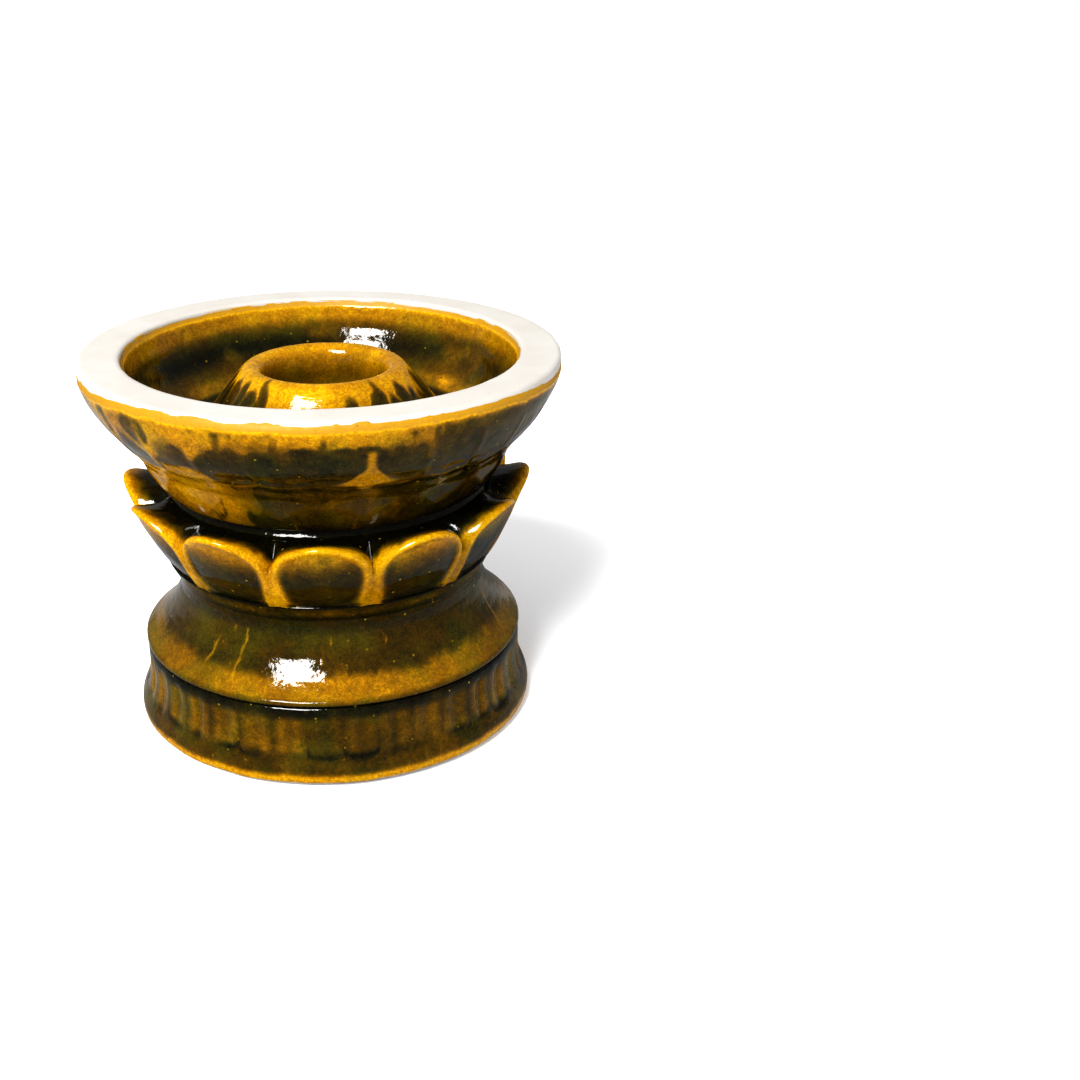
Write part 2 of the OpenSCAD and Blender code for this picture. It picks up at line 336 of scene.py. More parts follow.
def glazeMaterial(name, look, fleckAmount, mottleAmount):
    material, tree = newMaterial(name)
    where = addNode(tree, "ShaderNodeTexCoord").outputs["Object"]
    pool = addNode(tree, "ShaderNodeAttribute", attribute_name="pool").outputs["Fac"]

    def perMetre(size):
        return 1 / (size * mm)

    mottle = addNode(tree, "ShaderNodeTexNoise", {"Scale": perMetre(look["mottle"]), "Detail": 3.0,
                     "Roughness": 0.6, "Distortion": 1.4}, {"Vector": where})
    grain = addNode(tree, "ShaderNodeTexNoise", {"Scale": perMetre(look["grain"]), "Detail": 1.5,
                    "Distortion": 2.0}, {"Vector": where})
    patch = addNode(tree, "ShaderNodeTexNoise", {"Scale": perMetre(look["greenPatch"]), "Detail": 2.0},
                    {"Vector": where})
    # the mottling and the grain shift the depth of the glass, which the two colour ramps read
    speckled = addNode(tree, "ShaderNodeMath", {1: -0.5}, {0: mottle.outputs["Fac"]}, operation="ADD")
    grained = addNode(tree, "ShaderNodeMath", {1: -0.5}, {0: grain.outputs["Fac"]}, operation="ADD")
    coarse = addNode(tree, "ShaderNodeMath", {1: mottleAmount}, {0: speckled.outputs[0], 2: pool},
                     operation="MULTIPLY_ADD")
    depth = addNode(tree, "ShaderNodeMath", {1: mottleAmount * 1.1},
                    {0: grained.outputs[0], 2: coarse.outputs[0]}, operation="MULTIPLY_ADD")

    def ramp(stops):
        node = addNode(tree, "ShaderNodeValToRGB", links={"Fac": depth.outputs[0]})
        elements = node.color_ramp.elements
        elements[0].position, elements[0].color = stops[0][0], linear(stops[0][1])
        elements[1].position, elements[1].color = stops[-1][0], linear(stops[-1][1])
        for position, colour in stops[1:-1]:
            elements.new(position).color = linear(colour)
        return node.outputs["Color"]

    greenness = addNode(tree, "ShaderNodeMapRange", {"From Min": 0.45, "From Max": 0.65, "To Max": 0.75},
                        {"Value": patch.outputs["Fac"]})
    body = addNode(tree, "ShaderNodeMix", links={0: greenness.outputs[0], 6: ramp(look["ramp"]),
                   7: ramp(look["greenRamp"])}, data_type="RGBA")

    def spots(cell, low, high):
        # round spots, one to a cell, of many sizes
        cells = addNode(tree, "ShaderNodeTexVoronoi", {"Scale": perMetre(cell)}, {"Vector": where})
        sized = addNode(tree, "ShaderNodeSeparateColor", links={"Color": cells.outputs["Color"]})
        limit = addNode(tree, "ShaderNodeMapRange", {"From Min": 0.35, "From Max": 1.0, "To Min": low,
                        "To Max": high}, {"Value": sized.outputs[0]})
        soft = addNode(tree, "ShaderNodeMath", {1: 0.035}, {0: limit.outputs[0]}, operation="ADD")
        return addNode(tree, "ShaderNodeMapRange", {"To Min": 1.0, "To Max": 0.0},
                       {"Value": cells.outputs["Distance"], "From Min": limit.outputs[0],
                        "From Max": soft.outputs[0]}).outputs[0]

    inDark = addNode(tree, "ShaderNodeMapRange", {"From Min": 0.5, "From Max": 0.8, "To Max": fleckAmount},
                     {"Value": pool})
    flecks = spots(look["fleckCell"], -0.05, 0.15)
    fleckFac = addNode(tree, "ShaderNodeMath", links={0: flecks, 1: inDark.outputs[0]}, operation="MULTIPLY")
    flecked = addNode(tree, "ShaderNodeMix", {7: linear(look["fleckColour"])},
                      {0: fleckFac.outputs[0], 6: body.outputs[2]}, data_type="RGBA")
    inAmber = addNode(tree, "ShaderNodeMapRange", {"From Min": 0.45, "From Max": 0.15, "To Max": 0.85},
                      {"Value": pool})
    ironSpots = spots(look["ironCell"], -0.1, 0.06)
    ironFac = addNode(tree, "ShaderNodeMath", links={0: ironSpots, 1: inAmber.outputs[0]},
                      operation="MULTIPLY")
    spotted = addNode(tree, "ShaderNodeMix", {7: linear(look["ironColour"])},
                      {0: ironFac.outputs[0], 6: flecked.outputs[2]}, data_type="RGBA")

    # the fired skin is not quite flat: slow waves with a fine orange peel on them
    wave = addNode(tree, "ShaderNodeTexNoise", {"Scale": perMetre(2.2), "Detail": 2.0, "Roughness": 0.55},
                   {"Vector": where})
    peel = addNode(tree, "ShaderNodeTexNoise", {"Scale": perMetre(0.45), "Detail": 2.0}, {"Vector": where})
    waveBump = addNode(tree, "ShaderNodeBump", {"Strength": 0.35, "Distance": 0.25 * mm},
                       {"Height": wave.outputs["Fac"]})
    peelBump = addNode(tree, "ShaderNodeBump", {"Strength": 0.3, "Distance": 0.05 * mm},
                       {"Height": peel.outputs["Fac"], "Normal": waveBump.outputs[0]})
    # starved of glass where it thins out to nothing, so that its very edge is dry and duller, with a darker
    # tint there that is painted shade
    dryness = addNode(tree, "ShaderNodeMapRange", {"From Max": 0.035, "To Min": look["dryRoughness"],
                      "To Max": look["roughness"]}, {"Value": pool})
    # painted shade: how much of the darker tint goes on the dry edge
    dryShadeFac = addNode(tree, "ShaderNodeMapRange", {"From Max": 0.035, "To Min": 0.7, "To Max": 0.0},
                     {"Value": pool})
    dryShaded = addNode(tree, "ShaderNodeMix", {7: linear(look["dryEdgeShade"])},
                    {0: dryShadeFac.outputs[0], 6: spotted.outputs[2]}, data_type="RGBA")
    glass = addNode(tree, "ShaderNodeBsdfPrincipled", {"IOR": look["ior"], "Specular IOR Level": 0.4},
                    {"Base Color": dryShaded.outputs[2], "Normal": peelBump.outputs[0],
                     "Roughness": dryness.outputs[0]})
    addNode(tree, "ShaderNodeOutputMaterial", links={"Surface": glass.outputs[0]})
    return material


# White stoneware, turned, sponged and fired bare: chalky and matt, with fine grog and a few iron specks.
stonewareLook = {
    "colour": "#B1AEA9",
    "shade": "#A59F96",
    "speck": "#8D7B66",
    "grog": 0.3,            # mm, grit of the clay
    "cloud": 9.0,           # mm, patches of warmer clay
    "speckCell": 2.4,       # mm between specks
    "roughness": 0.82,
    "ior": 1.5,
}


def stonewareMaterial(name, look):
    material, tree = newMaterial(name)
    where = addNode(tree, "ShaderNodeTexCoord").outputs["Object"]
    cloud = addNode(tree, "ShaderNodeTexNoise", {"Scale": 1 / (look["cloud"] * mm), "Detail": 3.0},
                    {"Vector": where})
    grog = addNode(tree, "ShaderNodeTexNoise", {"Scale": 1 / (look["grog"] * mm), "Detail": 2.0,
                   "Roughness": 0.7}, {"Vector": where})
    warm = addNode(tree, "ShaderNodeMapRange", {"From Min": 0.35, "From Max": 0.75, "To Max": 0.55},
                   {"Value": cloud.outputs["Fac"]})
    clay = addNode(tree, "ShaderNodeMix", {6: linear(look["colour"]), 7: linear(look["shade"])},
                   {0: warm.outputs[0]}, data_type="RGBA")
    cells = addNode(tree, "ShaderNodeTexVoronoi", {"Scale": 1 / (look["speckCell"] * mm)}, {"Vector": where})
    chosen = addNode(tree, "ShaderNodeSeparateColor", links={"Color": cells.outputs["Color"]})
    size = addNode(tree, "ShaderNodeMapRange", {"From Min": 0.5, "From Max": 1.0, "To Min": -0.05,
                   "To Max": 0.05}, {"Value": chosen.outputs[0]})
    edge = addNode(tree, "ShaderNodeMath", {1: 0.03}, {0: size.outputs[0]}, operation="ADD")
    speck = addNode(tree, "ShaderNodeMapRange", {"To Min": 0.8, "To Max": 0.0},
                    {"Value": cells.outputs["Distance"], "From Min": size.outputs[0],
                     "From Max": edge.outputs[0]})
    speckled = addNode(tree, "ShaderNodeMix", {7: linear(look["speck"])},
                       {0: speck.outputs[0], 6: clay.outputs[2]}, data_type="RGBA")
    bump = addNode(tree, "ShaderNodeBump", {"Strength": 0.35, "Distance": 0.08 * mm},
                   {"Height": grog.outputs["Fac"]})
    body = addNode(tree, "ShaderNodeBsdfPrincipled", {"Roughness": look["roughness"], "IOR": look["ior"],
                   "Specular IOR Level": 0.3}, {"Base Color": speckled.outputs[2], "Normal": bump.outputs[0]})
    addNode(tree, "ShaderNodeOutputMaterial", links={"Surface": body.outputs[0]})
    return material


oliveGlaze = glazeMaterial("oliveIronGlazeDipped", glazeLook, 0.55, 0.34)
amberGlaze = glazeMaterial("amberIronGlazeDipped", glazeLook, 0.45, 0.3)
bareStoneware = stonewareMaterial("whiteStonewareSponged", stonewareLook)
print("materials made")


outlineLook = {
    "spacing": 0.28,        # mm between points of a glazed outline
    "softness": 0.35,       # mm over which glaze rounds off a corner
    "fineSpacing": 0.2,     # the same two for the shoulder, whose edges stay crisp
    "fineSoftness": 0.14,
    "pastDish": 1.9,        # mm that the glaze can run on over the rim's outer edge
    "pastWell": 0.8,        # mm that it can run on over the rim's inner edge
}
coarseStep = (outlineLook["spacing"], outlineLook["softness"])
fineStep = (outlineLook["fineSpacing"], outlineLook["fineSoftness"])
footPath = claySideOf("glaze_foot", "foot_ring")
shoulderPath = claySideOf("glaze_shoulder", "shoulder", "waist_collar")
waistPath = claySideOf("glaze_waist", "waist_collar", "dish")
dishPath = claySideOf("glaze_dish", "dish")
wellPath = claySideOf("glaze_well", "dish")
spirePath = claySideOf("glaze_spire", "spire")
dishPath = runOn(dishPath, "dish", outlineLook["pastDish"])
wellPath = runOn(wellPath[::-1], "dish", outlineLook["pastWell"])[::-1]
upper = softened(np.vstack([waistPath, dishPath[1:]]), *coarseStep)
upperOut = outwards(upper)
lipAt = nearest(upper, dishPath[0])
inner = softened(np.vstack([wellPath, spirePath[1:]]), *coarseStep)
innerOut = outwards(inner)
spireAt = nearest(inner, spirePath[0])
lower = softened(footPath, *coarseStep)
shoulderLine = softened(shoulderPath, *fineStep)
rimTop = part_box("dish")[1].z / mm
spireTop = spirePath[:, 1].max()
spireCrest = spirePath[spirePath[:, 1].argmax()][0]
print("outlines read")


# Clay pieces, turned from their own outlines.
clayLook = {
    "ringSpacing": 3.4,     # mm between the throwing rings inside
    "ringDepth": 0.12,      # mm
    "rimWave": 0.16,        # mm that the sponged rim dips
    "rimWander": 0.12,      # mm that its edges wander
    "rimMiddle": 36.4,      # mm, radius of the middle of the rim
    "spacing": 0.5,         # mm between points of a clay outline
    "softness": 0.16,       # mm over which its corners are worn round
}


def clayPiece(name, node, count, wobble):
    loop = softened(sliceOutline(node), clayLook["spacing"], clayLook["softness"], closed=True)
    angles = ring(count)[:, None]
    r, z = loop[None, :, 0] + 0 * angles, loop[None, :, 1] + 0 * angles
    dr, dz = wobble(angles + 0 * r, r, z)
    return meshPiece(name, placed(angles, r + dr, z + dz), bareStoneware, [node])


def rimWobble(angles, r, z):
    # the rim was wiped with a sponge, so it dips a little and its edges wander
    base = placed(angles, r, z)
    nearRim = ease(rimTop - 2.5, rimTop - 0.2, z)
    dip = -clayLook["rimWave"] * nearRim * (0.5 + 0.5 * roughLumps(base, 14, 3))
    edge = -clayLook["rimWander"] * nearRim * np.abs(lumps(base, 5, 9)) * np.sign(r - clayLook["rimMiddle"])
    return edge, dip


def boreRings(angles, r, z):
    # rings left by the fingers inside a thrown tube
    inside = ease(16, 13, r)
    swirl = np.sin(2 * np.pi * (z / clayLook["ringSpacing"] + angles / 360))
    return inside * clayLook["ringDepth"] * (0.5 + 0.5 * swirl), 0 * z


def still(angles, r, z):
    return 0 * r, 0 * z


clayPiece("dishClay", "dish", 600, rimWobble)
clayPiece("spireClay", "spire", 300, still)
clayPiece("stemSocketClay", "stem_socket", 300, boreRings)
print("clay pieces made")


# Glaze on the foot: thin in the flutes' rounded ends, and amber at the very bottom, partly thin glaze and
# partly painted light from the floor.
footLook = {
    "thick": 0.42,          # mm of glaze
    "fluteCount": 36,
    "fluteTurn": 4.5,       # degrees, centre of one flute
    "fluteDepth": 0.4,      # mm
    "fluteFrom": 5.2,       # mm, where the flutes start
    "fluteTo": 13.0,
}


def footCoat(angles, r, z, fromEnd, toEnd, base):
    pitch = 360 / footLook["fluteCount"]
    off = turned(angles - footLook["fluteTurn"] + pitch / 2) % pitch - pitch / 2
    index = np.round((angles - footLook["fluteTurn"]) / pitch)
    drop = 0.5 * np.sin(index * 2.7)
    width = 1.9 * (1 + 0.25 * np.sin(index * 1.9 + 1))
    # each flute is a shallow groove, deepest along its middle, with its own width and its own lower end
    start = footLook["fluteFrom"]
    gap = np.exp(-(off / width) ** 2) * ease(start - 0.6 + drop, start + 1.3 + drop, z)
    gap = gap * (1 - ease(footLook["fluteTo"] - 1.5, footLook["fluteTo"] + 0.3, z))
    rounded = np.sqrt(np.clip(1 - (off / (pitch / 2)) ** 2, 0, 1))
    foot = hump(z, start - 0.2 + 1.2 * (1 - rounded) + drop, 0.55)
    tongue = ease(start, start + 1.4, z) * (1 - ease(11.5, 13.5, z))
    soft = roughLumps(base, 6, 21)
    fine = roughLumps(base, 1.8, 22)
    thick = footLook["thick"] - footLook["fluteDepth"] * gap - 0.05 * foot + 0.05 * soft + 0.03 * fine
    edge = 0.35 + 0.3 * roughLumps(base, 3.0, 23)
    thick = mix(-0.05, thick, ease(edge - 0.3, edge + 0.7, fromEnd)) * ease(-0.1, 0.5, toEnd)
    pool = 0.63 + 0.14 * soft + 0.1 * fine
    pool = pool + 0.16 * gap - (0.1 + 0.26 * np.abs(np.sin(index * 3.3))) * tongue * rounded ** 2
    pit = ease(0.1, 0.6, lumps(base, 7, 25) + 0.4 * np.sin(index * 2.3))
    pool = pool + 0.3 * foot * pit - 0.13 * (1 - ease(3.0, 5.5, z))
    pool = pool + 0.26 * ease(11.3, 13.2, z) + 0.1 * hump(z, 3.0, 1.4)
    # amber along the bottom edge: thin glaze there, and painted light bounced up from the floor
    pool = mix(0.1, pool, ease(edge + 1.3, edge + 2.3, fromEnd))
    pool = mix(pool, 0.95, ease(0.7, 0.0, toEnd))
    return thick, pool, footLook["fluteDepth"] * gap


coatPiece("footGlaze", "glaze_foot", lower, outwards(lower), 1080, oliveGlaze, footCoat)


# Glaze on the shoulder and neck: dark, with an amber band on the edge and thin amber runs.
shoulderLook = {
    "thick": 0.46,
    "bandFrom": 14.9,       # mm, the amber band on the shoulder's edge
    "bandTo": 18.1,
    # amber runs: degrees from the front, lower and upper height, and width, the last three in mm
    "runs": [(-24, 16.3, 24.6, 0.5), (-35.7, 17.4, 21.8, 0.6), (6.6, 22.2, 23.8, 0.35),
             (25.7, 21.6, 23.2, 0.35), (10.5, 17.6, 19.0, 0.3), (-29, 23.2, 24.8, 0.35),
             (3.5, 19.4, 21.4, 0.22), (78, 17, 23, 0.5), (131, 16.5, 22, 0.4),
             (172, 18, 24, 0.5), (-141, 17, 21, 0.45), (-96, 17.5, 24.2, 0.45)],
}


def shoulderCoat(angles, r, z, fromEnd, toEnd, base):
    soft = roughLumps(base, 7, 31)
    fine = roughLumps(base, 1.6, 32)
    thick = shoulderLook["thick"] + 0.05 * soft + 0.012 * fine
    sideways = ease(20, 70, np.abs(turned(angles - 5)))
    pool = 0.63 + 0.1 * soft + 0.06 * fine
    pool = pool + 0.13 * ease(22.5, 25.5, z)
    # a step of thicker glaze at the collar's lower edge, with a dark line under it at 27.3 mm that is painted
    # shadow of the step's undercut
    thick = thick + 0.12 * ease(26.9, 28.5, z + 0.15 * soft)
    pool = mix(pool, 0.9, hump(z + 0.15 * soft, 27.3, 0.35) * 0.85)
    pool = mix(pool, 0.62 + 0.22 * soft + 0.16 * fine, hump(z, 28.8, 0.7))
    inBand = ease(shoulderLook["bandFrom"] - 0.5, shoulderLook["bandFrom"] + 0.4, z)
    bandTop = shoulderLook["bandTo"]
    inBand = inBand * (1 - ease(bandTop - 1.1, bandTop + 0.9, z + 0.5 * soft + 0.4 * fine))
    pool = mix(pool, 0.25 + 0.14 * sideways + 0.06 * soft + 0.05 * fine, inBand)
    pool = mix(0.85, pool, ease(shoulderLook["bandFrom"] - 0.7, shoulderLook["bandFrom"] - 0.2, z))
    for at, low, high, width in shoulderLook["runs"]:
        wander = 0.77 * np.sin(z * 0.55 + at) + 0.245 * np.sin(z * 2.3 + at)
        side = np.radians(turned(angles - at - wander)) * r
        reach = ease(low - 0.4, low + 0.6, z) * (1 - ease(high - 1.2, high + 0.3, z))
        run = reach * np.exp(-(side / (width * (0.28 + 0.3 * np.abs(np.sin(z * 1.7 + at))))) ** 2)
        pool = mix(pool, 0.18, 0.85 * run)
        thick = thick + 0.05 * run
    thick = thick * ease(-0.1, 0.5, fromEnd)
    pool = mix(pool, 0.97, ease(0.5, 0.0, toEnd))
    return thick, pool, 0 * r


coatPiece("shoulderGlaze", "glaze_shoulder", shoulderLine, outwards(shoulderLine), 720, oliveGlaze,
          shoulderCoat)


# Glaze in the waist, pooled black, and on the outside of the dish, scalloped.
waistLook = {
    # radius and height in mm of the pooled glaze, from the petals in to the groove and out under the lip
    "face": [(28.3, 41.36), (27.8, 41.27), (27.4, 41.24), (27.15, 41.33), (26.95, 41.53), (26.8, 41.75),
             (26.66, 42.0), (26.5, 42.35), (26.48, 42.58), (26.7, 42.74), (27.2, 42.86)],
    "spacing": 0.15,
    "softness": 0.2,
}


def waistCoat(angles, r, z, fromEnd, toEnd, base):
    soft = roughLumps(base, 5, 41)
    fine = roughLumps(base, 1.6, 42)
    return 0.05 * soft + 0.03 * fine, 0.93 - 0.1 * np.abs(soft) + 0.06 * fine, 0 * r


dishLook = {
    "thick": 0.4,
    "scallops": 26,
    "scallopTurn": 4.8,     # degrees, one boundary between scallops
    "crest": 52.9,          # mm, height of the step
    "fieldTop": 60.6,
    "splashAt": 18.5,       # degrees, the amber splash at the front
    "drips": (-2.0, 16.0, 61.0, 118.0, -133.0, -84.0),  # degrees, small drips at the lip
    "bareFront": 0.55,      # mm of the run-on left bare at the front
    "bareSides": 1.0,       # mm more at the sides
    "bareBack": -0.5,       # mm more at the back
}


def dishCoat(angles, r, z, fromEnd, toEnd, base):
    look = dishLook
    pitch = 360 / look["scallops"]
    off = (angles - look["scallopTurn"] + pitch / 2) % pitch - pitch / 2
    index = np.round((angles - look["scallopTurn"]) / pitch)
    seed = (np.sin(index * 12.9898 + 4.1) * 43.75) % 1
    # middle is 0 on a boundary between scallops and 1 halfway between two
    middle = np.clip(2 * np.abs(off) / pitch, 0, 1)
    soft = roughLumps(base, 9, 51)
    small = roughLumps(base, 3.2, 52)
    fine = roughLumps(base, 1.3, 53)
    runny = roughLumps(base * np.array([1, 1, 0.35]), 2.6, 54)
    side = turned(angles)
    left = ease(-7, -24, side) * ease(-150, -100, side)
    right = ease(20, 55, side) * ease(160, 120, side)
    crest = look["crest"] + 0.45 - 0.6 * (1 - (1 - middle) ** 2)
    overCrest = z - crest
    # scallops: shallow facets over the step, and a raised lip along their lower edge
    ridge = np.exp(-(off / 1.1) ** 2)
    facet = ease(0.2, 1.6, overCrest) * (1 - ease(58.5, 61.5, z))
    thick = look["thick"] - 0.14 * facet * (1 - ridge) + 0.08 * hump(overCrest, 0.1, 0.6)
    thick = thick - 0.12 * hump(overCrest, -1.3, 0.8)
    thick = thick + 0.05 * soft + 0.05 * small
    # the dark fields, with drips that run down between them from the amber above
    dropWidth = 1.0 + 2.2 * seed + 1.2 * left
    drop = (0.2 + 4.2 * seed ** 2 + 1.5 * left) * np.exp(-np.abs(off / dropWidth) ** 1.5)
    top = look["fieldTop"] + 1.2 * small + 0.9 * soft - drop - 1.2 * left + 0.5 * fine
    low = 0.1 + 0.8 * np.exp(-(off / 1.7) ** 2) * ease(0.3, 0.8, seed) + 0.25 * small
    low = low + 2.4 * left * ease(-0.3, 0.4, soft)
    inField = ease(low - 0.15, low + 0.4, overCrest) * (1 - ease(top - 0.35, top + 0.45, z))
    halo = ease(low - 0.6, low + 0.9, overCrest) * (1 - ease(top - 1.5, top + 2.2, z + 0.8 * small))
    amber = 0.15 + 0.1 * soft + 0.14 * np.abs(small) + 0.38 * right + 0.05 * fine + 0.24 * halo
    dark = 0.74 + 0.1 * small + 0.1 * fine - 0.08 * left - 0.12 * ease(top - 2.5, top, z)
    pool = mix(amber, dark, inField)
    blot = ease(0.26, 0.6, runny + 0.32 * right + 0.1 * left + 0.12 * small) * (1 - ease(63.0, 64.4, z))
    pool = mix(pool, 0.64, 0.8 * blot * (1 - inField) * ease(0.1, 0.5, overCrest))
    # the lower tier: brown, with amber runs on the left
    lower = 0.64 + 0.14 * soft + 0.12 * small + 0.05 * fine + 0.14 * right
    lower = lower + 0.12 * hump(overCrest, -0.9, 0.7)
    run = ease(0.0, 0.35, runny + 0.75 * left - 0.16 * (1 - left) + 0.15 * ease(45, 50, z))
    run = run * (0.3 + 0.7 * left)
    lower = mix(lower, 0.13 + 0.08 * small, 0.9 * run)
    pool = mix(lower, pool, ease(-0.15, 0.35, overCrest))
    pool = mix(pool, 0.3, 0.7 * hump(overCrest, 0.1, 0.3) * ease(-0.25, 0.3, small + 0.3 * left))
    # the splash: a stem that widens like a bell, and a drip below
    at = np.radians(turned(angles - look["splashAt"])) * r + 0.3 * small
    bell = 53.7 + 3.2 * np.exp(-(at / 2.6) ** 2) + 0.4 * small
    body = ease(bell + 0.3, bell - 0.3, z) * ease(53.0, 53.5, z) * np.exp(-np.abs(at / 5.0) ** 6)
    stem = np.exp(-np.abs(at / 0.85) ** 4) * ease(54, 55, z) * (1 - ease(59.6, 60.3, z))
    fall = np.exp(-np.abs((at + 0.5) / 1.3) ** 4) * ease(51.6, 52.6, z) * (1 - ease(53.5, 54, z))
    splash = np.clip(body + stem + fall, 0, 1)
    pool = mix(pool, 0.16, 0.92 * splash)
    thick = thick + 0.08 * splash
    for place in look["drips"]:
        away = np.radians(turned(angles - place)) * r
        pool = mix(pool, 0.3, 0.7 * np.exp(-(away / 0.35) ** 2) * (1 - ease(44.2, 46.4, z)))
    pool = mix(pool, 0.8, hump(z, 43.1, 0.35) * 0.6)
    # a ragged upper edge, up to the rim at the front and lower at the sides
    fromFront = np.abs(turned(angles - 5))
    bare = look["bareFront"] + look["bareSides"] * ease(35, 75, fromFront)
    bare = bare + look["bareBack"] * ease(120, 160, fromFront)
    edge = bare + 0.3 * roughLumps(base, 2.4, 57) + 0.1 * fine
    thick = mix(-0.25, thick, ease(edge - 1.0, edge + 1.4, toEnd))
    pool = mix(pool, 0.1, ease(edge + 2.2, edge + 1.2, toEnd) * 0.7)
    pool = mix(pool, 0.0, ease(edge + 1.5, edge + 1.0, toEnd))
    return thick, pool, 0 * r


waistFace = softened(np.array(waistLook["face"]), waistLook["spacing"], waistLook["softness"])
coatPiece("waistGlaze", "glaze_waist", waistFace, outwards(waistFace), 600, oliveGlaze,
          waistCoat, upper[:lipAt + 1])
coatPiece("dishGlaze", "glaze_dish", upper[lipAt:], upperOut[lipAt:], 900, oliveGlaze,
          dishCoat)


# Glaze in the well and over the spire.
wellLook = {
    "thick": 0.42,          # mm
    "edge": 0.3,            # mm of the run-on left bare
    "bandLow": 60.4,        # mm, where the amber band under the edge ends
    "darkAt": 57.2,         # mm, middle of the dark band
    "floorFrom": 52.4,      # mm, where the mottled floor gives way to the wall
    "trough": 51.7,         # mm, below this the glaze has pooled nearly black
}
spireLook = {
    "thick": 0.42,          # mm
    "streaks": 38,
    "streakTop": 59.6,      # mm, how far up the cone the dark streaks reach
}


def wellCoat(angles, r, z, fromEnd, toEnd, base):
    look = wellLook
    soft = roughLumps(base * np.array([1, 1, 1.6]), 10, 61)
    small = roughLumps(base, 3, 62)
    fine = roughLumps(base, 1.3, 63)
    sweep = np.radians(angles)
    ringed = np.sin(2 * np.pi * (z / 3.1 + angles / 360) + 0.7 * soft)
    thick = look["thick"] + 0.03 * ringed * ease(52, 54, z) * (1 - ease(60, 62, z)) + 0.03 * small
    # amber under the edge, then a dark band, then a mottled floor
    wavy = z + 0.9 * soft + 0.5 * small
    pool = 0.17 + 0.04 * np.clip(np.sin(sweep), 0, 1) + 0.07 * soft + 0.06 * fine
    pool = pool + 0.26 * (1 - ease(look["bandLow"] - 1.2, look["bandLow"] + 1.4, wavy))
    heavy = ease(-0.45, 0.25, soft + 0.6 * small + 0.3)
    heavy = heavy * (1 - 0.5 * np.clip(np.sin(sweep), 0, 1)) + 0.15 * np.clip(-np.sin(sweep), 0, 1)
    pool = pool + 0.4 * heavy * hump(wavy, look["darkAt"], 2.3)
    floor = 0.34 + 0.3 * soft + 0.2 * small + 0.06 * fine
    pool = mix(pool, floor, 1 - ease(look["floorFrom"], look["floorFrom"] + 1.6, z + 0.5 * soft))
    pool = mix(pool, 0.85, ease(look["trough"], look["trough"] - 0.8, z) * 0.85)
    edge = look["edge"] + 0.25 * roughLumps(base, 2.6, 65)
    thick = mix(-0.1, thick, ease(edge - 0.4, edge + 1.0, fromEnd))
    pool = mix(pool, 0.08, ease(edge + 1.8, edge + 0.8, fromEnd) * 0.8)
    pool = mix(pool, 0.0, ease(edge + 1.0, edge + 0.6, fromEnd))
    return thick, pool, 0 * r


def spireCoat(angles, r, z, fromEnd, toEnd, base):
    look = spireLook
    soft = roughLumps(base, 6, 71)
    small = roughLumps(base, 2.5, 72)
    fine = roughLumps(base, 1.2, 73)
    crown = ease(spireTop - 0.6, spireTop - 0.2, z)
    outside = r > spireCrest
    # dark streaks that run down the cone, each of its own width and length
    part = angles * look["streaks"] / 360 + 0.35 * small
    index = np.floor(part) % look["streaks"]
    across = np.abs(part - np.floor(part) - 0.5) * 2
    seed = (np.sin(index * 12.9898 + 2.2) * 43.75) % 1
    beside = ease(12, 40, np.abs(turned(angles)))
    top = look["streakTop"] + 2.2 * beside - 3.6 * seed - 1.4 * across ** 2 + 0.5 * small
    streak = ease(top + 0.5, top - 0.9, z) * (0.55 + 0.45 * (1 - across ** 2))
    thick = look["thick"] + 0.04 * soft + 0.05 * hump(z, 60.2, 0.8) * outside
    pool = np.maximum(0.08 + 0.06 * soft + 0.05 * fine + 0.05 * crown, 0.04)
    pool = pool + outside * (0.2 * (1 - ease(56.5, 60.5, z)) + 0.5 * streak)
    pool = np.where(outside, mix(pool, 0.85, ease(52.6, 51.2, z + 0.3 * small) * 0.8), pool)
    inner = 0.18 + 0.26 * ease(61.0, 57.0, z) + 0.1 * soft + 0.08 * small
    pool = np.where(outside, pool, mix(pool, inner, ease(62.0, 60.6, z)))
    thick = thick * ease(-0.1, 0.8, toEnd)
    return thick, pool, 0 * r


coatPiece("wellGlaze", "glaze_well", inner[:spireAt + 1], innerOut[:spireAt + 1], 720, amberGlaze,
          wellCoat)
coatPiece("spireGlaze", "glaze_spire", inner[spireAt:], innerOut[spireAt:], 480, amberGlaze,
          spireCoat)
print("turned coats made")


# Petals, and the glaze over them in one skin.
petalLook = {
    "count": 12,
    "turn": 5.5,            # degrees, middle of one petal
    "radius": 33.0,         # mm, where widths across a petal are measured
    "rows": (46, 8, 34),    # points up the face, over the tip and in to the waist
    "shell": 0.38,          # mm of glaze over the clay petals
    "fieldDepth": 0.42,     # mm
    "fieldHalf": 7.0,       # mm, half the width of a field
    "rim": 1.1,             # mm of rim left above a field
}
# radius and height in mm down the middle of a petal and down the notch between two,
# from the ledge up the face, over the tip and in to the waist
crownLine = [(28.25, 29.75), (29.4, 31.2), (31.6, 34.8), (33.2, 38.2), (34.4, 41.0), (34.95, 42.35),
             (34.98, 42.75), (34.7, 43.1), (34.2, 43.15), (32.5, 42.6), (30.0, 41.95), (27.6, 41.5),
             (26.6, 41.42)]
notchLine = [(28.25, 29.75), (29.5, 32.0), (30.6, 34.3), (31.25, 36.0), (31.35, 36.6), (31.25, 36.9),
             (31.0, 37.2), (30.4, 37.7), (29.9, 38.1), (29.1, 39.1), (28.4, 40.3), (27.7, 41.15),
             (26.6, 41.35)]
lineCorners = (0, 5, 8, 12)  # first point, where the tip starts and ends, last point


